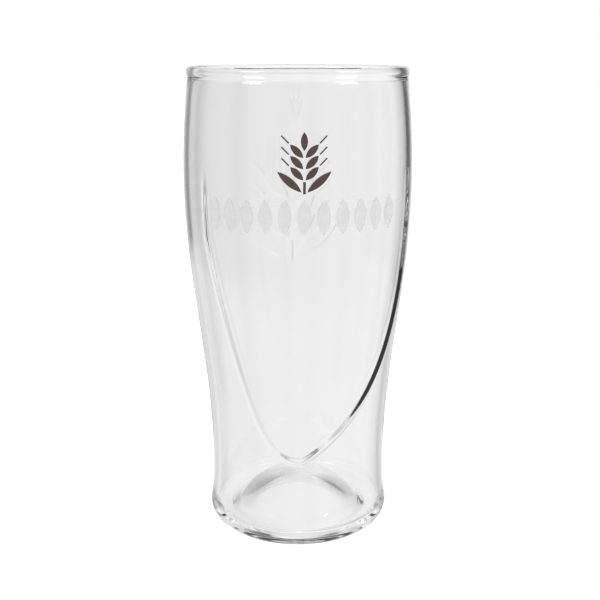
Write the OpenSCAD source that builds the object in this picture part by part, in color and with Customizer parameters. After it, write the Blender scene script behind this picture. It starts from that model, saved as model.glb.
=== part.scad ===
// Empty tulip pint glass: one solid of clear glass with a domed push-up base, a moulded V rib on the front and an
// ear of barley in relief on the back, and two enamel prints fired on its front.
// The origin is the centre of the base on the table, +Z is up and the prints face -Y.

/* [Glass body] */
// Overall height, base to rim
glass_h = 165; // [155:1:175]
// Radius of the foot where it is widest
foot_r = 33; // [32.3:0.1:34.5]
// Height at which the foot is widest
foot_z = 6.8; // [6:0.1:9]
// Radius of the waist above the foot
waist_r = 32; // [31:0.1:32.2]
// How tightly the flare curves from the waist to the foot
flare_power = 3; // [2:0.1:4]
// Height of the waist
waist_z = 25.5; // [22:0.5:30]
// Radius of the belly, the widest place
belly_r = 40; // [38:0.1:42]
// Height of the belly
belly_z = 126.5; // [118:0.5:130]
// Radius of the long arc that draws the shoulder in towards the rim
shoulder_arc_r = 257; // [230:1:300]

/* [Rim] */
// Height of the fire-polished bead at the rim
bead_h = 3.4; // [3:0.1:5]
// How far the bead stands out beyond the neck
bead_proud = 0.45; // [0.2:0.05:0.8]
// Thickness of the bead, from outside to inside
bead_t = 3; // [2.6:0.1:4]

/* [Wall and floor] */
// Wall thickness from the middle of the body up to the rim
wall_t = 2.05; // [1.8:0.05:2.5]
// Wall thickness at the waist and below
waist_wall_t = 2.5; // [2:0.1:3.5]
// Height below which the wall grows thicker
thick_from_z = 107; // [90:1:120]
// Height of the bottom of the trough round the floor's dome
floor_z = 4.8; // [4.5:0.1:6]
// Radius of the corner between wall and floor
corner_r = 2.5; // [2:0.1:4]
// Radius of the floor's dome, inside the trough
dome_r = 23; // [21:0.1:24]
// Rise of the floor's dome above the trough
dome_h = 11.8; // [11.5:0.1:14]

/* [Base] */
// Height of the rounded heel
heel_h = 5.8; // [4:0.1:6]
// How far the heel rounds in under the foot
heel_in = 5.3; // [4:0.1:6]
// Radius of the hollow push-up under the base
push_up_r = 25.2; // [23:0.1:26]
// Height of the push-up at its middle
push_up_h = 11.7; // [8:0.1:12.5]
// How softly the push-up runs out at its edge: 1 is a plain bowl, more is softer
push_up_power = 1.35; // [1:0.05:2]

/* [Moulded relief] */
// Turn of the prints and of the V rib about the glass's axis
front_turn = 3; // [-10:0.5:10]
// Height of the V rib above the wall
rib_h = 0.8; // [0.2:0.05:0.9]
// Width of the V rib
rib_w = 3.4; // [2:0.1:5]
// Height of the point of the V
rib_tip_z = 33; // [29:0.5:36]
// Height at which the V reaches its full width
rib_wide_z = 111; // [100:0.5:115]
// Height at which the two arms of the V end
rib_end_z = 134; // [126:0.5:138]
// Angle round the glass from the middle of the V to its left arm, at full width
left_angle = 53; // [48:1:60]
// How fast the left arm opens: 1 is straight, less is rounder at the point
left_power = 0.38; // [0.3:0.01:0.6]
// Angle round the glass from the middle of the V to its right arm, at full width
right_angle = 64; // [55:1:66]
// How fast the right arm swings out to its full width: 1 is straight, more is rounder at the side
right_power = 3.1; // [2:0.1:4]
// Height of the raised ear of barley above the back wall
relief_h = 0.3; // [0.1:0.05:0.4]
// Height of the middle of the raised ear
relief_z = 110; // [105:1:114]
// Height of the raised ear, stem to whisker tips
relief_l = 42; // [30:1:44]
// Turn of the raised ear about the glass's axis, from the middle of the back
relief_turn = 5; // [-10:0.5:10]

/* [Prints] */
// Thickness of the fired enamel
enamel_t = 0.12; // [0.05:0.01:0.2]
// Height of the middle of the ear-of-barley emblem
emblem_z = 136.5; // [132:0.5:140]
// Height of the emblem, stem to whisker tips
emblem_l = 19; // [16:0.5:21]
// Height of the middle of the leaf frieze
frieze_z = 119.5; // [116:0.5:122]
// Length of each leaf in the frieze
leaf_l = 11.4; // [8:0.1:13]
// Width of each leaf in the frieze
leaf_w = 4.6; // [3:0.1:5]
// Number of leaves in the frieze
leaf_count = 11; // [5:2:13]
// Angle round the glass from one leaf to the next
leaf_step = 9; // [8:0.5:12]

/* [Hidden] */
$fn = 96;

bead_z = glass_h - bead_h / 2;
neck_z = glass_h - bead_h;
flare_steps = 8;
body_steps = 36;
shoulder_steps = 12;
round_steps = 10;
dome_steps = 14;
push_up_steps = 20;
rib_steps = 40;
// Angle below the middle of the bead at which its round face begins
bead_from = 25;
// How deep the relief is rooted in the wall
root_d = 0.6;
// Height of one step of a skin, and how far a skin reaches past the shape it carries
skin_step = 4;
skin_margin = 1;
// How far the stamped shapes reach out past the belly
stamp_margin = 5;

// Outer radius at a height above the heel: the foot flares in to the waist, an S curve swells out to the
// belly, and a long arc closes in to the rim.
function outer_r(z) =
    z < waist_z ? waist_r + (foot_r - waist_r) * pow((waist_z - z) / (waist_z - foot_z), flare_power)
  : z < belly_z ? waist_r + (belly_r - waist_r) * (1 - cos(180 * (z - waist_z) / (belly_z - waist_z))) / 2
  : belly_r - shoulder_arc_r + sqrt(pow(shoulder_arc_r, 2) - pow(z - belly_z, 2));

// Inner radius at a height: the wall grows a little thicker towards the waist.
function inner_r(z) =
    outer_r(z) - wall_t
    - (waist_wall_t - wall_t) * max(0, min(1, (thick_from_z - z) / (thick_from_z - waist_z)));

// A shallow dome of a given edge radius and rise, as points from its middle to its edge.
function dome_points(edge_r, rise, edge_z, steps) =
    let (arc_r = (pow(edge_r, 2) + pow(rise, 2)) / (2 * rise), half_angle = asin(edge_r / arc_r))
    [for (i = [0 : steps]) let (a = half_angle * i / steps)
        [arc_r * sin(a), edge_z + rise - arc_r * (1 - cos(a))]];

bead_out_r = outer_r(neck_z) + bead_proud;
bead_mid_r = bead_out_r - bead_t / 2;
corner_z = floor_z + corner_r;
floor_r = inner_r(corner_z) - corner_r;

// Half of the outline, from the middle of the underside, up the outside, over the bead, down the wall and over the
// dome of the floor.
push_up_line = [for (i = [0 : push_up_steps])
    let (share = i / push_up_steps)
    [push_up_r * share, push_up_h * pow(1 - pow(share, 2), push_up_power)]];
heel_line = [for (i = [0 : round_steps])
    let (a = 90 * i / round_steps)
    [outer_r(heel_h) - heel_in * (1 - sin(a)), heel_h * (1 - cos(a))]];
outer_line = [
    for (i = [1 : flare_steps]) let (z = heel_h + (waist_z - heel_h) * i / flare_steps) [outer_r(z), z],
    for (i = [1 : body_steps]) let (z = waist_z + (belly_z - waist_z) * i / body_steps) [outer_r(z), z],
    for (i = [1 : shoulder_steps]) let (z = belly_z + (neck_z - belly_z) * i / shoulder_steps) [outer_r(z), z]];
bead_line = [for (i = [0 : 2 * round_steps])
    let (a = -bead_from + (180 + 2 * bead_from) * i / (2 * round_steps))
    [bead_mid_r + bead_t / 2 * cos(a), bead_z + bead_h / 2 * sin(a)]];
inner_line = [
    for (i = [shoulder_steps - 1 : -1 : 0])
        let (z = belly_z + (neck_z - belly_z) * i / shoulder_steps) [inner_r(z), z],
    for (i = [body_steps - 1 : -1 : 0])
        let (z = corner_z + (belly_z - corner_z) * i / body_steps) [inner_r(z), z],
    for (i = [1 : round_steps])
        let (a = 90 * i / round_steps)
        [floor_r + corner_r * cos(a), corner_z - corner_r * sin(a)]];
dome_line = dome_points(dome_r, dome_h, floor_z, dome_steps);
floor_line = [for (i = [dome_steps : -1 : 0]) dome_line[i]];

// A skin on the outer wall, from one height to another, rooted some way into the wall and standing proud of it.
module wall_skin(low, high, root, proud) {
    z0 = low - skin_margin;
    z1 = high + skin_margin;
    steps = ceil((z1 - z0) / skin_step);
    rotate_extrude()
        polygon(concat(
            [for (i = [0 : steps]) let (z = z0 + (z1 - z0) * i / steps) [outer_r(z) - root, z]],
            [for (i = [steps : -1 : 0]) let (z = z0 + (z1 - z0) * i / steps) [outer_r(z) + proud, z]]));
}

// A flat outline that stands upright on the front of the glass, extruded outwards through the wall.
module stamp()
    rotate([90, 0, 0])
    linear_extrude(belly_r + stamp_margin)
    children();

// A pointed leaf or grain, upright about the origin: where two equal circles overlap.
module leaf_shape(length, width) {
    arc_r = (pow(length, 2) + pow(width, 2)) / (4 * width);
    intersection() {
        translate([arc_r - width / 2, 0]) circle(arc_r);
        translate([width / 2 - arc_r, 0]) circle(arc_r);
    }
}

// An ear of barley, upright about the origin: a stem between two blades, pairs of grains that lean out, each with a
// whisker above it, and a grain on top. The shapes lie a little apart, and each size is a share of the height.
module ear_shape(height) {
    stem_w = height * 0.045;
    stem_l = height * 0.2;
    blade_l = height * 0.52;
    blade_w = height * 0.13;
    blade_lean = 50;
    blade_x = height * 0.045;
    blade_z = -height * 0.47;
    grain_l = height * 0.3;
    grain_w = height * 0.115;
    grain_lean = 45;
    grain_x = height * 0.02;
    grain_z = -height * 0.27;
    pair_count = 3;
    pair_pitch = height * 0.18;
    whisker_w = height * 0.024;
    whisker_l = height * 0.17;
    whisker_from = grain_l * 1.1;
    translate([-stem_w / 2, -height / 2]) square([stem_w, stem_l]);
    translate([0, (height - grain_l) / 2]) leaf_shape(grain_l, grain_w);
    for (side = [-1, 1]) {
        translate([side * blade_x, blade_z])
            rotate(-side * blade_lean) translate([0, blade_l / 2]) leaf_shape(blade_l, blade_w);
        for (i = [0 : pair_count - 1])
            translate([side * grain_x, grain_z + i * pair_pitch]) rotate(-side * grain_lean) {
                translate([0, grain_l / 2]) leaf_shape(grain_l, grain_w);
                translate([-whisker_w / 2, whisker_from]) square([whisker_w, whisker_l]);
            }
    }
}

// Angle round the glass from the middle of the V to an arm, at a height; side is -1 for the left arm, 1 for the right.
function arm_at(side, z) =
    let (share = min(1, max(0, (z - rib_tip_z) / (rib_wide_z - rib_tip_z))))
    side < 0 ? left_angle * pow(share, left_power) : right_angle * (1 - pow(1 - share, right_power));

// One edge of an arm, seen from the front, at a height: edge is -1 inside the V and 1 outside it.
function arm_edge(side, edge, z) =
    let (a = arm_at(side, z), shift = edge * rib_w / 2 * cos(a))
    [side * (outer_r(z) * sin(a) + shift), z - shift];

// One arm of the V, seen from the front: a band whose height grows evenly along a square root, so that the steep
// end and the flat end both get enough points.
module arm_shape(side) {
    heights = [for (i = [1 : rib_steps]) rib_tip_z + (rib_end_z - rib_tip_z) * pow(i / rib_steps, 2)];
    polygon(concat(
        [[0, rib_tip_z - rib_w]],
        [for (z = heights) arm_edge(side, 1, z)],
        [for (i = [rib_steps - 1 : -1 : 0]) arm_edge(side, -1, heights[i])],
        [[0, rib_tip_z]]));
}

module v_rib()
    rotate([0, 0, front_turn])
    intersection() {
        wall_skin(rib_tip_z - rib_w, rib_end_z + rib_w, root_d, rib_h);
        stamp() for (side = [-1, 1]) arm_shape(side);
    }

module back_relief()
    rotate([0, 0, 180 + relief_turn])
    intersection() {
        wall_skin(relief_z - relief_l / 2, relief_z + relief_l / 2, root_d, relief_h);
        stamp() translate([0, relief_z]) ear_shape(relief_l);
    }

module glass()
    color([0.86, 0.9, 0.9, 0.35]) {
        rotate_extrude() polygon(concat(push_up_line, heel_line, outer_line, bead_line, inner_line, floor_line));
        v_rib();
        back_relief();
    }

module emblem_print()
    color([0.3, 0.2, 0.16])
    rotate([0, 0, front_turn])
    intersection() {
        wall_skin(emblem_z - emblem_l / 2, emblem_z + emblem_l / 2, 0, enamel_t);
        stamp() translate([0, emblem_z]) ear_shape(emblem_l);
    }

module frieze_print()
    color([0.82, 0.83, 0.83])
    for (i = [0 : leaf_count - 1])
        rotate([0, 0, front_turn + (i - (leaf_count - 1) / 2) * leaf_step])
        intersection() {
            wall_skin(frieze_z - leaf_l / 2, frieze_z + leaf_l / 2, 0, enamel_t);
            stamp() translate([0, frieze_z]) leaf_shape(leaf_l, leaf_w);
        }

glass();
emblem_print();
frieze_print();
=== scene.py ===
"""Tulip pint glass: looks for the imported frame.

Run as a script, it loads the frame, models the clear glass with its V rib and its raised ear of barley, gives
the two enamel prints their finish, and sets up a pale floor, soft studio light and a camera.
"""

import math

import bmesh
import bpy
from mathutils import Matrix, Vector, kdtree


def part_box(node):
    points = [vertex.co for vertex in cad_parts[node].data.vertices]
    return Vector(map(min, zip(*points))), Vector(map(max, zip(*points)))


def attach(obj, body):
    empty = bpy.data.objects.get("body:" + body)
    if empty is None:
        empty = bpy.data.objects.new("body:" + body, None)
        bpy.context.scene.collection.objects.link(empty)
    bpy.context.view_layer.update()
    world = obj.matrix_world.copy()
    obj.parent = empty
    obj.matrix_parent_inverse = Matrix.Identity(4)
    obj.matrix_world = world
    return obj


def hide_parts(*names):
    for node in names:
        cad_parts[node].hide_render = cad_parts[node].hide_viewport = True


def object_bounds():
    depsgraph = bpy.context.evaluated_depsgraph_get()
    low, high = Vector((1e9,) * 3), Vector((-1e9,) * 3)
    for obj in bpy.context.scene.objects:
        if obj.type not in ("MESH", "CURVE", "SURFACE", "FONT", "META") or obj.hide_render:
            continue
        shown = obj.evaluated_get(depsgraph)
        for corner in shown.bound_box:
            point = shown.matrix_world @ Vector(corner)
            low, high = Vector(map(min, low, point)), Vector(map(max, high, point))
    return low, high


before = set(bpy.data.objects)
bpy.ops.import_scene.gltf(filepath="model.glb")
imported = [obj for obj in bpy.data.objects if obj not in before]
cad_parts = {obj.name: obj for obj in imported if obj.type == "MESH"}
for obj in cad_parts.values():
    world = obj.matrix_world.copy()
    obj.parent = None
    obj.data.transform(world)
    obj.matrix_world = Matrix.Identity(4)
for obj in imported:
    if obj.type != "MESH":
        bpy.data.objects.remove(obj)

bl_info = {
    "name": "Tulip Pint Glass",
    "version": (1, 0, 0),
    "blender": (4, 5, 0),
    "location": "3D View > Sidebar > Pint Glass",
    "description": "Models a clear tulip pint glass with enamel prints on a pale studio floor",
    "category": "Add Mesh",
}

MM = 0.001
# Vertices this close together, in metres, are one.
SAME_PLACE = 1e-7

# The frame's own boxes give the driving sizes, so that the piece fits the CAD parts.
CAD_LOW, CAD_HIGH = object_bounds()
GLASS_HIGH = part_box("glass")[1]
GLASS_H = GLASS_HIGH.z
BELLY_R = GLASS_HIGH.x


class GlassSizes(bpy.types.PropertyGroup):
    """Sizes of the glass body, in metres."""

    foot_r: bpy.props.FloatProperty(
        name="Foot radius", description="Radius of the foot where it is widest",
        default=33 * MM, min=0.03, max=0.04, unit="LENGTH")
    foot_z: bpy.props.FloatProperty(
        name="Foot height", description="Height at which the foot is widest",
        default=6.8 * MM, min=0.006, max=0.009, unit="LENGTH")
    waist_r: bpy.props.FloatProperty(
        name="Waist radius", description="Radius of the narrow waist above the foot",
        default=32 * MM, min=0.03, max=0.04, unit="LENGTH")
    flare_power: bpy.props.FloatProperty(
        name="Foot flare", description="How tightly the flare curves from the waist to the foot",
        default=3.0, min=2.0, max=4.0)
    waist_z: bpy.props.FloatProperty(
        name="Waist height", description="Height of the waist",
        default=25.5 * MM, min=0.02, max=0.03, unit="LENGTH")
    belly_z: bpy.props.FloatProperty(
        name="Belly height", description="Height of the widest place",
        default=126.5 * MM, min=0.11, max=0.13, unit="LENGTH")
    shoulder_arc_r: bpy.props.FloatProperty(
        name="Shoulder arc", description="Radius of the long arc from the belly to the rim",
        default=257 * MM, min=0.2, max=0.3, unit="LENGTH")
    bead_h: bpy.props.FloatProperty(
        name="Bead height", description="Height of the fire-polished bead at the rim",
        default=3.4 * MM, min=0.003, max=0.005, unit="LENGTH")
    bead_proud: bpy.props.FloatProperty(
        name="Bead overhang", description="How far the bead stands out beyond the neck",
        default=0.45 * MM, min=0.0, max=0.001, unit="LENGTH")
    bead_t: bpy.props.FloatProperty(
        name="Bead thickness", description="Thickness of the bead from outside to inside",
        default=3 * MM, min=0.002, max=0.004, unit="LENGTH")
    wall_t: bpy.props.FloatProperty(
        name="Wall", description="Wall thickness from the middle of the body up to the rim",
        default=2.05 * MM, min=0.0015, max=0.003, unit="LENGTH")
    waist_wall_t: bpy.props.FloatProperty(
        name="Waist wall", description="Wall thickness at the waist and below",
        default=2.5 * MM, min=0.002, max=0.004, unit="LENGTH")
    thick_from_z: bpy.props.FloatProperty(
        name="Thickening starts", description="Height below which the wall grows thicker",
        default=107 * MM, min=0.08, max=0.12, unit="LENGTH")
    floor_z: bpy.props.FloatProperty(
        name="Trough height", description="Height of the bottom of the trough round the floor's dome",
        default=4.8 * MM, min=0.0045, max=0.006, unit="LENGTH")
    corner_r: bpy.props.FloatProperty(
        name="Floor corner", description="Radius of the corner between wall and floor",
        default=2.5 * MM, min=0.002, max=0.004, unit="LENGTH")
    dome_r: bpy.props.FloatProperty(
        name="Dome radius", description="Radius of the floor's dome, inside the trough",
        default=23 * MM, min=0.021, max=0.024, unit="LENGTH")
    dome_h: bpy.props.FloatProperty(
        name="Floor dome", description="Rise of the floor's dome above the trough",
        default=11.8 * MM, min=0.0115, max=0.014, unit="LENGTH")
    heel_h: bpy.props.FloatProperty(
        name="Heel height", description="Height of the rounded heel",
        default=5.8 * MM, min=0.004, max=0.006, unit="LENGTH")
    heel_in: bpy.props.FloatProperty(
        name="Heel depth", description="How far the heel rounds in under the foot",
        default=5.3 * MM, min=0.004, max=0.006, unit="LENGTH")
    push_up_r: bpy.props.FloatProperty(
        name="Push-up radius", description="Radius of the hollow under the base",
        default=25.2 * MM, min=0.02, max=0.026, unit="LENGTH")
    push_up_h: bpy.props.FloatProperty(
        name="Push-up height", description="Height of the hollow under the base at its middle",
        default=11.7 * MM, min=0.008, max=0.013, unit="LENGTH")
    push_up_power: bpy.props.FloatProperty(
        name="Push-up softness", description="1 is a plain bowl, and more runs out more softly",
        default=1.35, min=1.0, max=2.0)


class ReliefSizes(bpy.types.PropertyGroup):
    """Sizes of the moulded V rib and of the raised ear of barley."""

    front_turn: bpy.props.FloatProperty(
        name="Front turn", description="Turn of the V rib about the glass's axis",
        default=math.radians(3), subtype="ANGLE")
    rib_h: bpy.props.FloatProperty(
        name="Rib height", description="Height of the V rib above the wall",
        default=0.8 * MM, min=0.0, max=0.001, unit="LENGTH")
    rib_w: bpy.props.FloatProperty(
        name="Rib width", description="Width of the V rib where it leaves the wall",
        default=3.4 * MM, min=0.001, max=0.008, unit="LENGTH")
    tip_z: bpy.props.FloatProperty(
        name="V point", description="Height of the point of the V",
        default=33 * MM, min=0.025, max=0.04, unit="LENGTH")
    wide_z: bpy.props.FloatProperty(
        name="V width height", description="Height at which the V reaches its full width",
        default=111 * MM, min=0.09, max=0.12, unit="LENGTH")
    end_z: bpy.props.FloatProperty(
        name="V ends", description="Height at which the two arms of the V have faded out",
        default=134 * MM, min=0.12, max=0.14, unit="LENGTH")
    fade_h: bpy.props.FloatProperty(
        name="V fade", description="Height over which the arms fade out",
        default=14 * MM, min=0.001, max=0.03, unit="LENGTH")
    left_angle: bpy.props.FloatProperty(
        name="Left arm angle", description="Angle from the middle of the V to its left arm at full width",
        default=math.radians(53), subtype="ANGLE")
    left_power: bpy.props.FloatProperty(
        name="Left arm roundness", description="1 is a straight arm, and less is rounder at the point",
        default=0.38, min=0.2, max=1.0)
    left_share: bpy.props.FloatProperty(
        name="Left arm height", description="Height of the left arm as a share of the rib height",
        default=0.45, min=0.1, max=1.0)
    right_angle: bpy.props.FloatProperty(
        name="Right arm angle", description="Angle from the middle of the V to its right arm at full width",
        default=math.radians(64), subtype="ANGLE")
    right_power: bpy.props.FloatProperty(
        name="Right arm roundness", description="1 is a straight arm, and more is rounder at the side",
        default=3.1, min=1.0, max=4.0)
    ear_turn: bpy.props.FloatProperty(
        name="Ear turn", description="Turn of the raised ear from the middle of the back",
        default=math.radians(5), subtype="ANGLE")
    ear_z: bpy.props.FloatProperty(
        name="Ear height", description="Height of the middle of the raised ear",
        default=110 * MM, min=0.09, max=0.12, unit="LENGTH")
    ear_l: bpy.props.FloatProperty(
        name="Ear length", description="Length of the raised ear from stem to whisker tips",
        default=42 * MM, min=0.03, max=0.044, unit="LENGTH")
    ear_h: bpy.props.FloatProperty(
        name="Ear relief", description="How far the ear stands above the wall",
        default=0.3 * MM, min=0.0, max=0.0004, unit="LENGTH")


class FinishColours(bpy.types.PropertyGroup):
    """Colours of the glass, the enamels and the floor, as sRGB hex."""

    glass: bpy.props.StringProperty(
        name="Glass", description="Tint that light takes on at each face of the glass", default="F7F7F7")
    brown: bpy.props.StringProperty(
        name="Brown enamel", description="Colour of the emblem", default="33241E")
    brown_thin: bpy.props.StringProperty(
        name="Thin brown enamel", description="Colour of the emblem where the ink is thin",
        default="4A372E")
    pale: bpy.props.StringProperty(
        name="Pale enamel", description="Colour of the leaf frieze", default="CCCDCC")
    pale_thin: bpy.props.StringProperty(
        name="Thin pale enamel", description="Colour of the frieze where the ink is thin",
        default="DADBDA")
    floor: bpy.props.StringProperty(
        name="Floor", description="Colour of the studio floor", default="F4F4F4")


class StudioSettings(bpy.types.PropertyGroup):
    """The camera and the light of the studio."""

    camera_back: bpy.props.FloatProperty(
        name="Camera distance", description="Level distance from the glass's axis to the camera",
        default=332 * MM, min=0.2, max=1.0, unit="LENGTH")
    camera_up: bpy.props.FloatProperty(
        name="Camera height", description="Height of the camera above the floor",
        default=170.8 * MM, min=0.0, max=0.5, unit="LENGTH")
    camera_side: bpy.props.FloatProperty(
        name="Camera side step", description="How far the camera stands to the right of the glass's axis",
        default=0.7 * MM, unit="LENGTH")
    camera_tilt: bpy.props.FloatProperty(
        name="Camera tilt", description="How far the camera looks down",
        default=math.radians(14.91), subtype="ANGLE")
    lens: bpy.props.FloatProperty(
        name="Lens", description="Focal length on a 36 mm sensor", default=56.7, min=20, max=200)
    table_light: bpy.props.FloatProperty(
        name="Table light", description="Brightness of the white table round the glass", default=1.04)
    overhead_light: bpy.props.FloatProperty(
        name="Overhead light", description="Brightness of the soft light overhead", default=0.9)
    floor_glow: bpy.props.FloatProperty(
        name="Floor glow", description="Light from within the light-table floor", default=0.9)
    box_power: bpy.props.FloatProperty(
        name="Soft box power", description="Power of each soft box beside the camera, in watts", default=2.5)


class PintGlassSettings(bpy.types.PropertyGroup):
    """Everything that a user would change."""

    body: bpy.props.PointerProperty(type=GlassSizes)
    relief: bpy.props.PointerProperty(type=ReliefSizes)
    colours: bpy.props.PointerProperty(type=FinishColours)
    studio: bpy.props.PointerProperty(type=StudioSettings)


# Shape of the glass

# Steps along each stretch of the outline, from the middle of the push-up to the middle of the floor's dome.
PUSH_UP_STEPS = 24
HEEL_STEPS = 10
WALL_STEPS = 130
BEAD_STEPS = 16
INNER_STEPS = 44
CORNER_STEPS = 6
DOME_STEPS = 12
# Steps round the glass.
SPIN_STEPS = 256
# The bead's round starts and ends this far below its widest place, where it runs into the wall.
BEAD_FROM = math.radians(25)

# Cuts made in each edge of a face where relief stands on the wall.
RELIEF_CUTS = 2
# A vertex this close to the outer curve is on the outer wall, which ends this far below the bead.
WALL_SLACK = 0.02 * MM
BEAD_SLACK = 0.1 * MM
# Points along each arm of the V, and how far the fine division reaches on either side of the rib.
RIB_POINTS = 700
RIB_MARGIN = 1 * MM
# Angle across the middle of the V over which the rib goes from the left arm's height to the right arm's.
ARM_CHANGE = math.radians(30)

# The ear of barley in shares of its length: (length, width) of each part, and (side, height) of their roots.
STEM = (0.2, 0.045)
BLADE = (0.52, 0.13)
GRAIN = (0.3, 0.115)
WHISKER = (0.17, 0.024)
BLADE_ROOT = (0.045, -0.47)
GRAIN_ROOT = (0.02, -0.27)
GRAIN_PITCH = 0.18
GRAIN_PAIRS = 3
BLADE_LEAN = math.radians(50)
GRAIN_LEAN = math.radians(45)
# A whisker starts just past the tip of its grain.
WHISKER_FROM = 0.33
# Half the width and half the height of the window of wall that the ear is raised in, and the ear's soft edge.
EAR_WINDOW = (0.46, 0.56)
EAR_EDGE = 0.4 * MM


def outer_radius(body, z):
    """Outer radius at a height: the foot flares in to the waist, an S curve swells to the belly, and a long
    arc closes in to the rim."""
    if z < body.waist_z:
        flare = (body.waist_z - z) / (body.waist_z - body.foot_z)
        return body.waist_r + (body.foot_r - body.waist_r) * flare ** body.flare_power
    if z < body.belly_z:
        turn = math.pi * (z - body.waist_z) / (body.belly_z - body.waist_z)
        return body.waist_r + (BELLY_R - body.waist_r) * (1 - math.cos(turn)) / 2
    arc_r = body.shoulder_arc_r
    return BELLY_R - arc_r + math.sqrt(arc_r ** 2 - (z - body.belly_z) ** 2)


def inner_radius(body, z):
    """Inner radius at a height: the wall grows a little thicker towards the waist."""
    share = (body.thick_from_z - z) / (body.thick_from_z - body.waist_z)
    extra = (body.waist_wall_t - body.wall_t) * max(0.0, min(1.0, share))
    return outer_radius(body, z) - body.wall_t - extra


def steps_between(start, end, count):
    """Evenly spaced numbers after start, up to and with end."""
    return [start + (end - start) * i / count for i in range(1, count + 1)]


def dome_line(edge_r, rise, edge_z, count):
    """A shallow dome as (radius, height) points from its middle to its edge."""
    arc_r = (edge_r ** 2 + rise ** 2) / (2 * rise)
    half_angle = math.asin(edge_r / arc_r)
    angles = [half_angle * i / count for i in range(count + 1)]
    return [(arc_r * math.sin(a), edge_z + rise - arc_r * (1 - math.cos(a))) for a in angles]


def push_up_line(body, count):
    """The hollow under the base as (radius, height) points from its middle to its softly run-out edge."""
    shares = [i / count for i in range(count + 1)]
    return [(body.push_up_r * s, body.push_up_h * (1 - s ** 2) ** body.push_up_power) for s in shares]


def glass_outline(body):
    """Half of the glass's outline as (radius, height) points: the push-up, the heel, the outer wall, the
    bead, the inner wall, the corner and the floor's dome."""
    neck_z = GLASS_H - body.bead_h
    corner_z = body.floor_z + body.corner_r
    floor_r = inner_radius(body, corner_z) - body.corner_r
    bead_mid_z = GLASS_H - body.bead_h / 2
    bead_mid_r = outer_radius(body, neck_z) + body.bead_proud - body.bead_t / 2

    line = push_up_line(body, PUSH_UP_STEPS)
    heel_r = outer_radius(body, body.heel_h)
    for a in [0.0] + steps_between(0.0, math.pi / 2, HEEL_STEPS):
        line.append((heel_r - body.heel_in * (1 - math.sin(a)), body.heel_h * (1 - math.cos(a))))
    for z in steps_between(body.heel_h, neck_z, WALL_STEPS):
        line.append((outer_radius(body, z), z))
    for a in [-BEAD_FROM] + steps_between(-BEAD_FROM, math.pi + BEAD_FROM, BEAD_STEPS):
        line.append((bead_mid_r + body.bead_t / 2 * math.cos(a), bead_mid_z + body.bead_h / 2 * math.sin(a)))
    for z in steps_between(neck_z, corner_z, INNER_STEPS):
        line.append((inner_radius(body, z), z))
    for a in steps_between(0.0, math.pi / 2, CORNER_STEPS):
        line.append((floor_r + body.corner_r * math.cos(a), corner_z - body.corner_r * math.sin(a)))
    return line + dome_line(body.dome_r, body.dome_h, body.floor_z, DOME_STEPS)[::-1]


def arm_angles(relief, z):
    """Angles round the glass from the middle of the V to its left and right arms, at a height."""
    share = max(0.0, min(1.0, (z - relief.tip_z) / (relief.wide_z - relief.tip_z)))
    left = -relief.left_angle * share ** relief.left_power
    right = relief.right_angle * (1 - (1 - share) ** relief.right_power)
    return left, right


def rib_line(body, relief):
    """Points along both arms of the V, closest together at its point, with the wall unrolled flat."""
    tree = kdtree.KDTree(2 * (RIB_POINTS + 1))
    for i in range(RIB_POINTS + 1):
        z = relief.tip_z + (relief.end_z - relief.tip_z) * (i / RIB_POINTS) ** 2
        for side, angle in enumerate(arm_angles(relief, z)):
            tree.insert((angle * outer_radius(body, z), z, 0), 2 * i + side)
    tree.balance()
    return tree


def ear_parts(ear_l):
    """The ear of barley about its middle, as (kind, middle x, middle z, lean, length, width) of each part."""
    parts = []

    def add_part(kind, size, root, lean=0.0, start=0.0, side=1):
        """Adds a part that leans out from its root, starting some way along its own line."""
        reach = start + size[0] / 2
        mid_x = root[0] + reach * math.sin(lean)
        mid_z = root[1] + reach * math.cos(lean)
        length, width = (ear_l * share for share in size)
        parts.append((kind, side * ear_l * mid_x, ear_l * mid_z, side * lean, length, width))

    add_part("bar", STEM, (0.0, -0.5))
    add_part("leaf", GRAIN, (0.0, 0.5 - GRAIN[0]))
    for side in (-1, 1):
        add_part("leaf", BLADE, BLADE_ROOT, BLADE_LEAN, side=side)
        for i in range(GRAIN_PAIRS):
            root = (GRAIN_ROOT[0], GRAIN_ROOT[1] + GRAIN_PITCH * i)
            add_part("leaf", GRAIN, root, GRAIN_LEAN, side=side)
            add_part("bar", WHISKER, root, GRAIN_LEAN, WHISKER_FROM, side)
    return parts


def depth_inside(part, x, z):
    """How far a point lies inside a leaf or bar of the ear, and negative outside it."""
    kind, mid_x, mid_z, lean, length, width = part
    dx, dz = x - mid_x, z - mid_z
    across = abs(dx * math.cos(lean) - dz * math.sin(lean))
    along = abs(dx * math.sin(lean) + dz * math.cos(lean))
    if kind == "bar":
        return min(width / 2 - across, length / 2 - along)
    arc_r = (length ** 2 + width ** 2) / (4 * width)
    return arc_r - math.hypot(across + arc_r - width / 2, along)


def eased(share):
    """0 below 0, 1 above 1, and a smooth rise between."""
    share = max(0.0, min(1.0, share))
    return share * share * (3 - 2 * share)


def is_outer_wall(body, co):
    """True for a vertex of the plain outer wall."""
    if not body.heel_h < co.z < GLASS_H - body.bead_h - BEAD_SLACK:
        return False
    return abs(math.hypot(co.x, co.y) - outer_radius(body, co.z)) < WALL_SLACK


def is_outside(body, co):
    """True for a vertex of the wall's outer side, whether or not relief stands on it."""
    return co.z >= body.heel_h and math.hypot(co.x, co.y) >= outer_radius(body, co.z) - body.wall_t / 2


def divide(bm, faces):
    """Divides faces of the wall finely enough to carry relief."""
    edges = list(dict.fromkeys(edge for face in faces for edge in face.edges))
    bmesh.ops.subdivide_edges(bm, edges=edges, cuts=RELIEF_CUTS, use_grid_fill=True)


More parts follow.
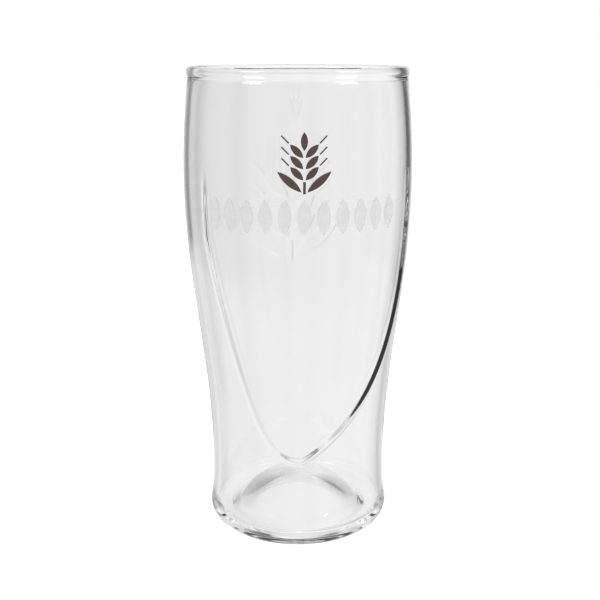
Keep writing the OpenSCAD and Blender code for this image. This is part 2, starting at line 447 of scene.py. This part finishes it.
def set_height(body, vert, height):
    """Moves a vertex straight out from the glass's axis, to a height above the true curve of the wall."""
    share = (outer_radius(body, vert.co.z) + height) / math.hypot(vert.co.x, vert.co.y)
    vert.co.x *= share
    vert.co.y *= share


def raise_rib(bm, body, relief):
    """Divides the front of the wall finely along both arms of the V, and raises the rounded rib on it."""
    tree = rib_line(body, relief)
    half_w = relief.rib_w / 2

    def place(co):
        """Angle round the glass from the middle of the V, and distance from the line of the rib."""
        angle = math.atan2(co.x, -co.y) - relief.front_turn
        return angle, tree.find((angle * math.hypot(co.x, co.y), co.z, 0))[2]

    def near_rib(face):
        """True if the rib reaches this face."""
        if not all(is_outer_wall(body, vert.co) for vert in face.verts):
            return False
        return place(face.verts[0].co)[1] < half_w + RIB_MARGIN

    divide(bm, [face for face in bm.faces if near_rib(face)])
    for vert in bm.verts:
        if not is_outside(body, vert.co):
            continue
        angle, distance = place(vert.co)
        if distance < half_w:
            height = relief.rib_h * eased((relief.end_z - vert.co.z) / relief.fade_h)
            height *= relief.left_share + (1 - relief.left_share) * eased(angle / ARM_CHANGE + 0.5)
            set_height(body, vert, height * (1 + math.cos(math.pi * distance / half_w)) / 2)


def raise_ear(bm, body, relief):
    """Divides the back of the wall finely, and raises the rounded ear of barley on it."""
    half_w, half_h = (relief.ear_l * share for share in EAR_WINDOW)

    def place(co):
        """Where a vertex of the outer side lies about the middle of the ear, seen from behind, or None if the
        ear can't reach it."""
        angle = math.atan2(-co.x, co.y) - relief.ear_turn
        x = math.hypot(co.x, co.y) * math.sin(angle)
        z = co.z - relief.ear_z
        near = abs(angle) <= math.pi / 2 and abs(x) <= half_w and abs(z) <= half_h
        return (x, z) if near and is_outside(body, co) else None

    def in_window(face):
        """True if the ear, or the soft edge of it, may reach this face."""
        return all(is_outer_wall(body, vert.co) and place(vert.co) for vert in face.verts)

    divide(bm, [face for face in bm.faces if in_window(face)])
    parts = ear_parts(relief.ear_l)
    for vert in bm.verts:
        spot = place(vert.co)
        if spot:
            depth = max(depth_inside(part, *spot) for part in parts)
            set_height(body, vert, relief.ear_h * eased(depth / EAR_EDGE + 0.5))


# Materials

# A colour Mix node's sockets by number, because each of their names stands for several.
MIX_FACTOR = 0
MIX_A = 6
MIX_B = 7
MIX_RESULT = 2
# Settings of a Mix node for colours, and of a Map Range node that rises smoothly.
COLOURS = {"data_type": "RGBA"}
SMOOTH = {"interpolation_type": "SMOOTHSTEP"}


def grey(level):
    """A neutral linear RGBA colour."""
    return level, level, level, 1


def linear(hex_colour):
    """An sRGB hex colour as linear RGBA."""
    channels = [int(hex_colour[i:i + 2], 16) / 255 for i in (0, 2, 4)]
    return [c / 12.92 if c <= 0.04045 else ((c + 0.055) / 1.055) ** 2.4 for c in channels] + [1.0]


def add_node(tree, kind, settings=None, inputs=None, links=None):
    """Adds a node, sets its attributes and socket values, and links (node, output) pairs to its sockets."""
    node = tree.nodes.new(kind)
    for key, value in (settings or {}).items():
        setattr(node, key, value)
    for key, value in (inputs or {}).items():
        node.inputs[key].default_value = value
    for key, (source, output) in (links or {}).items():
        tree.links.new(source.outputs[output], node.inputs[key])
    return node


def new_material(name):
    """An empty node material."""
    material = bpy.data.materials.new(name)
    material.use_nodes = True
    material.node_tree.nodes.clear()
    return material, material.node_tree


def pattern_place(tree, wave):
    """Object coordinates scaled so that one unit is one wavelength of the pattern."""
    place = add_node(tree, "ShaderNodeTexCoord")
    return add_node(tree, "ShaderNodeMapping", inputs={"Scale": (1 / wave,) * 3},
                    links={"Vector": (place, "Object")})


def soda_lime_glass(colours):
    """Soda-lime glass, blown and fire polished: clear and perfectly smooth to the eye, with a wave of about
    two centimetres left from the mould that bends what shows through it very slightly."""
    material, tree = new_material("soda_lime_glass_fire_polished")
    place = pattern_place(tree, 22 * MM)
    wave = add_node(tree, "ShaderNodeTexNoise", inputs={"Scale": 1.0, "Detail": 1.0, "Roughness": 0.4},
                    links={"Vector": (place, "Vector")})
    bump = add_node(tree, "ShaderNodeBump", inputs={"Strength": 1.0, "Distance": 0.01 * MM},
                    links={"Height": (wave, "Fac")})
    shader = add_node(tree, "ShaderNodeBsdfPrincipled",
                      inputs={"Base Color": linear(colours.glass), "Roughness": 0.0, "IOR": 1.52,
                              "Transmission Weight": 1.0},
                      links={"Normal": (bump, "Normal")})
    add_node(tree, "ShaderNodeOutputMaterial", links={"Surface": (shader, "BSDF")})
    return material


def ceramic_enamel(name, thick, thin, opacity):
    """Ceramic enamel, screen printed and fired: a satin film whose ink lies a little uneven, drawn with a
    grain of half a millimetre, coarser than the real one, so that it shows."""
    material, tree = new_material(name)
    patches = add_node(tree, "ShaderNodeTexNoise", inputs={"Scale": 1.0, "Detail": 3.0},
                       links={"Vector": (pattern_place(tree, 3 * MM), "Vector")})
    grain = add_node(tree, "ShaderNodeTexNoise", inputs={"Scale": 1.0, "Detail": 2.0},
                     links={"Vector": (pattern_place(tree, 0.5 * MM), "Vector")})
    colour = add_node(tree, "ShaderNodeMix", COLOURS, {MIX_A: linear(thick), MIX_B: linear(thin)},
                      {MIX_FACTOR: (patches, "Fac")})
    bump = add_node(tree, "ShaderNodeBump", inputs={"Strength": 0.3, "Distance": 0.02 * MM},
                    links={"Height": (grain, "Fac")})
    shader = add_node(tree, "ShaderNodeBsdfPrincipled",
                      inputs={"Roughness": 0.38, "IOR": 1.5, "Alpha": opacity},
                      links={"Base Color": (colour, MIX_RESULT), "Normal": (bump, "Normal")})
    add_node(tree, "ShaderNodeOutputMaterial", links={"Surface": (shader, "BSDF")})
    return material


def studio_floor(colours, studio):
    """Matt white acrylic of a light table, lit from within: plain, and a little uneven in its roughness."""
    material, tree = new_material("matt_acrylic_light_table")
    cloud = add_node(tree, "ShaderNodeTexNoise", inputs={"Scale": 1.0, "Detail": 2.0},
                     links={"Vector": (pattern_place(tree, 200 * MM), "Vector")})
    rough = add_node(tree, "ShaderNodeMapRange", inputs={"To Min": 0.55, "To Max": 0.65},
                     links={"Value": (cloud, "Fac")})
    shader = add_node(tree, "ShaderNodeBsdfPrincipled",
                      inputs={"Base Color": linear(colours.floor), "Specular IOR Level": 0.2,
                              "Emission Color": grey(1), "Emission Strength": studio.floor_glow},
                      links={"Roughness": (rough, "Result")})
    add_node(tree, "ShaderNodeOutputMaterial", links={"Surface": (shader, "BSDF")})
    return material


# Studio

# Brightness of the room by direction, in degrees round the glass from straight behind it, clockwise from
# above. A bright panel stands behind the glass, and the dark gaps beside it draw the dark edges of clear
# glass. Two more panels do the same for a look from the side and from the back.
MAIN_PANEL = [(-42, 0.75), (-35, 0.25), (-30, 0.25), (-26, 0.4), (-14, 0.78), (0, 0.96), (13, 1.03),
              (17, 0.85), (23, 0.66), (27, 0.12), (42, 0.14), (62, 0.8)]
SIDE_PANEL = [(-42, 0.85), (-31, 0.5), (-20, 0.85), (-8, 0.95), (8, 0.95), (20, 0.85), (31, 0.5), (42, 0.85)]
SIDE_PANEL_TURNS = (-90, 135)
# Height of the white table's far edge above level, at its left and its right. It drops between the two
# directions that follow, and is soft for a little way above and below.
TABLE_EDGE_LEFT = math.radians(-14)
TABLE_EDGE_RIGHT = math.radians(-19)
TABLE_DROP_FROM = math.radians(-20)
TABLE_DROP_TO = math.radians(40)
TABLE_EDGE_SOFT = math.radians(2)
# Share of the table's light that is the same all round; the rest follows the panels.
TABLE_EVEN = 0.55
# Heights above level at which the light overhead starts and reaches its full strength.
OVERHEAD_FROM = math.radians(30)
OVERHEAD_TO = math.radians(45)
# The two soft boxes: degrees round the glass from the camera's side, positive to the right, and their level
# distance, height and width and depth in metres.
BOX_TURNS = (-51, 56)
BOX_DISTANCE = 1.0
BOX_HEIGHT = 0.75
BOX_SIZE = (0.42, 0.42)
# The floor is a disc this large, just under the glass so that the two don't share a surface.
FLOOR_R = 3.0
FLOOR_GAP = 0.1 * MM
FLOOR_STEPS = 96
# Width of the camera's sensor in millimetres, and the nearest thing that it sees.
SENSOR_W = 36
NEAREST = 10 * MM
# Times that light may turn in the glass: it runs round inside the thick heel many times before it leaves.
LIGHT_BOUNCES = 32


def panel_light(tree, turn):
    """Light of the panels by direction round the glass."""
    share = add_node(tree, "ShaderNodeMath", {"operation": "MULTIPLY_ADD"}, {1: 1 / (2 * math.pi), 2: 0.5},
                     {0: (turn, "Value")})
    ramp = add_node(tree, "ShaderNodeValToRGB", links={"Fac": (share, "Value")})
    sides = [(middle + degrees, level) for middle in SIDE_PANEL_TURNS for degrees, level in SIDE_PANEL]
    panels = sorted(MAIN_PANEL + sides)
    stops = ramp.color_ramp.elements
    while len(stops) < len(panels):
        stops.new(0.5)
    for stop, (degrees, level) in zip(stops, panels):
        stop.position = (degrees + 180) / 360
        stop.color = grey(level)
    return ramp


def table_share(tree, turn, rise):
    """Share of the even white table in the light from a direction: 0 above its far edge."""
    edge = add_node(tree, "ShaderNodeMapRange", SMOOTH,
                    {"From Min": TABLE_DROP_FROM, "From Max": TABLE_DROP_TO,
                     "To Min": TABLE_EDGE_LEFT, "To Max": TABLE_EDGE_RIGHT},
                    {"Value": (turn, "Value")})
    below = add_node(tree, "ShaderNodeMath", {"operation": "SUBTRACT"},
                     links={0: (edge, "Result"), 1: (rise, "Value")})
    return add_node(tree, "ShaderNodeMapRange", SMOOTH,
                    {"From Min": -TABLE_EDGE_SOFT, "From Max": TABLE_EDGE_SOFT, "To Max": TABLE_EVEN},
                    {"Value": (below, "Value")})


def build_room(studio):
    """Soft studio light as a world: bright panels round the glass, a white table below it and a soft light
    above. The backdrop that the camera sees directly is plain white."""
    world = bpy.data.worlds.new("soft_studio")
    world.use_nodes = True
    tree = world.node_tree
    tree.nodes.clear()
    place = add_node(tree, "ShaderNodeTexCoord")
    axes = add_node(tree, "ShaderNodeSeparateXYZ", links={"Vector": (place, "Generated")})
    turn = add_node(tree, "ShaderNodeMath", {"operation": "ARCTAN2"}, links={0: (axes, "X"), 1: (axes, "Y")})
    rise = add_node(tree, "ShaderNodeMath", {"operation": "ARCSINE"}, links={0: (axes, "Z")})
    panels = panel_light(tree, turn)
    table = table_share(tree, turn, rise)
    overhead = add_node(tree, "ShaderNodeMapRange", SMOOTH,
                        {"From Min": OVERHEAD_FROM, "From Max": OVERHEAD_TO}, {"Value": (rise, "Value")})
    path = add_node(tree, "ShaderNodeLightPath")
    with_table = add_node(tree, "ShaderNodeMix", COLOURS, {MIX_B: grey(studio.table_light)},
                          {MIX_FACTOR: (table, "Result"), MIX_A: (panels, "Color")})
    with_top = add_node(tree, "ShaderNodeMix", COLOURS, {MIX_B: grey(studio.overhead_light)},
                        {MIX_FACTOR: (overhead, "Result"), MIX_A: (with_table, MIX_RESULT)})
    seen = add_node(tree, "ShaderNodeMix", COLOURS, {MIX_B: grey(1)},
                    {MIX_FACTOR: (path, "Is Camera Ray"), MIX_A: (with_top, MIX_RESULT)})
    light = add_node(tree, "ShaderNodeBackground", links={"Color": (seen, MIX_RESULT)})
    add_node(tree, "ShaderNodeOutputWorld", links={"Surface": (light, "Background")})
    bpy.context.scene.world = world


def soft_box(name, turn, power):
    """A soft box beside and above the camera, which shows only as the highlight that it draws on the rim."""
    light = bpy.data.lights.new(name, "AREA")
    light.shape = "RECTANGLE"
    light.size, light.size_y = BOX_SIZE
    light.energy = power
    lamp = bpy.data.objects.new(name, light)
    bpy.context.collection.objects.link(lamp)
    lamp.location = (BOX_DISTANCE * math.sin(turn), -BOX_DISTANCE * math.cos(turn), BOX_HEIGHT)
    aim = Vector((0, 0, GLASS_H)) - lamp.location
    lamp.rotation_euler = aim.to_track_quat("-Z", "Y").to_euler()
    lamp.visible_camera = False


def lay_floor(material):
    """The light-table floor. The glass looks through to the even white table of the room, not to the shaded
    floor close under it."""
    bm = bmesh.new()
    bmesh.ops.create_circle(bm, cap_ends=True, segments=FLOOR_STEPS, radius=FLOOR_R,
                            matrix=Matrix.Translation((0, 0, CAD_LOW.z - FLOOR_GAP)))
    floor = new_piece("studio_floor", bm, material, smooth=False)
    floor.visible_transmission = False
    floor.visible_glossy = False


def place_camera(studio):
    """The camera in front of the glass, a little above its rim and looking down."""
    camera = bpy.data.cameras.new("studio_camera")
    camera.sensor_width = SENSOR_W
    camera.lens = studio.lens
    camera.clip_start = NEAREST
    holder = bpy.data.objects.new("studio_camera", camera)
    bpy.context.collection.objects.link(holder)
    holder.location = (studio.camera_side, -studio.camera_back, studio.camera_up)
    holder.rotation_euler = (math.pi / 2 - studio.camera_tilt, 0, 0)
    bpy.context.scene.camera = holder


# Pieces

def new_piece(name, bm, material, smooth=True):
    """Turns a bmesh into a scene object with one material."""
    mesh = bpy.data.meshes.new(name)
    bm.to_mesh(mesh)
    bm.free()
    mesh.materials.append(material)
    for polygon in mesh.polygons:
        polygon.use_smooth = smooth
    piece = bpy.data.objects.new(name, mesh)
    bpy.context.collection.objects.link(piece)
    return piece


def give_finish(node, material):
    """Gives a CAD node, whose shape stays, its finish."""
    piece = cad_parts[node]
    piece.data.materials.clear()
    piece.data.materials.append(material)


class PINTGLASS_OT_body(bpy.types.Operator):
    """Model the clear glass: a spun body with a beaded rim and domed base, a V rib and a raised ear"""

    bl_idname = "pintglass.body"
    bl_label = "Glass Body"

    def execute(self, context):
        settings = context.scene.pint_glass
        body, relief = settings.body, settings.relief
        bm = bmesh.new()
        verts = [bm.verts.new((radius, 0, z)) for radius, z in glass_outline(body)]
        edges = [bm.edges.new(pair) for pair in zip(verts, verts[1:])]
        bmesh.ops.spin(bm, geom=verts + edges, cent=(0, 0, 0), axis=(0, 0, 1), angle=2 * math.pi,
                       steps=SPIN_STEPS, use_merge=True, use_duplicate=False)
        bmesh.ops.remove_doubles(bm, verts=bm.verts, dist=SAME_PLACE)
        bmesh.ops.recalc_face_normals(bm, faces=bm.faces)
        raise_ear(bm, body, relief)
        raise_rib(bm, body, relief)
        if any(not e.is_manifold for e in bm.edges):
            raise RuntimeError("the glass is not closed")
        piece = new_piece("glass_body", bm, soda_lime_glass(settings.colours))
        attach(piece, "root")
        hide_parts("glass")
        return {"FINISHED"}


class PINTGLASS_OT_prints(bpy.types.Operator):
    """Give the barley emblem and the leaf frieze their fired enamel"""

    bl_idname = "pintglass.prints"
    bl_label = "Enamel Prints"

    def execute(self, context):
        colours = context.scene.pint_glass.colours
        brown = ceramic_enamel("ceramic_enamel_brown", colours.brown, colours.brown_thin, opacity=1.0)
        pale = ceramic_enamel("ceramic_enamel_pale", colours.pale, colours.pale_thin, opacity=0.34)
        give_finish("emblem_print", brown)
        give_finish("frieze_print", pale)
        return {"FINISHED"}


class PINTGLASS_OT_stage(bpy.types.Operator):
    """Set up the pale floor, the soft studio light and the camera"""

    bl_idname = "pintglass.stage"
    bl_label = "Studio Stage"

    def execute(self, context):
        settings = context.scene.pint_glass
        studio = settings.studio
        lay_floor(studio_floor(settings.colours, studio))
        build_room(studio)
        for name, turn in zip(("soft_box_left", "soft_box_right"), BOX_TURNS):
            soft_box(name, math.radians(turn), studio.box_power)
        place_camera(studio)
        context.scene.view_settings.view_transform = "Standard"
        context.scene.cycles.max_bounces = LIGHT_BOUNCES
        context.scene.cycles.transmission_bounces = LIGHT_BOUNCES
        context.scene.cycles.glossy_bounces = LIGHT_BOUNCES
        return {"FINISHED"}


class PINTGLASS_PT_sidebar(bpy.types.Panel):
    """The glass's steps and settings, in the 3D view's sidebar"""

    bl_idname = "PINTGLASS_PT_sidebar"
    bl_label = "Pint Glass"
    bl_space_type = "VIEW_3D"
    bl_region_type = "UI"
    bl_category = "Pint Glass"

    def draw(self, context):
        layout = self.layout
        for operator in OPERATORS:
            layout.operator(operator.bl_idname)
        settings = context.scene.pint_glass
        for group in (settings.body, settings.relief, settings.colours, settings.studio):
            box = layout.box()
            for name in group.bl_rna.properties.keys():
                if name not in ("rna_type", "name"):
                    box.prop(group, name)


OPERATORS = (PINTGLASS_OT_body, PINTGLASS_OT_prints, PINTGLASS_OT_stage)
CLASSES = (GlassSizes, ReliefSizes, FinishColours, StudioSettings, PintGlassSettings) + OPERATORS + (
    PINTGLASS_PT_sidebar,)


def register():
    for cls in CLASSES:
        bpy.utils.register_class(cls)
    bpy.types.Scene.pint_glass = bpy.props.PointerProperty(type=PintGlassSettings)


def unregister():
    del bpy.types.Scene.pint_glass
    for cls in reversed(CLASSES):
        bpy.utils.unregister_class(cls)


def main():
    register()
    bpy.ops.pintglass.body()
    bpy.ops.pintglass.prints()
    bpy.ops.pintglass.stage()


if __name__ == "__main__":
    main()
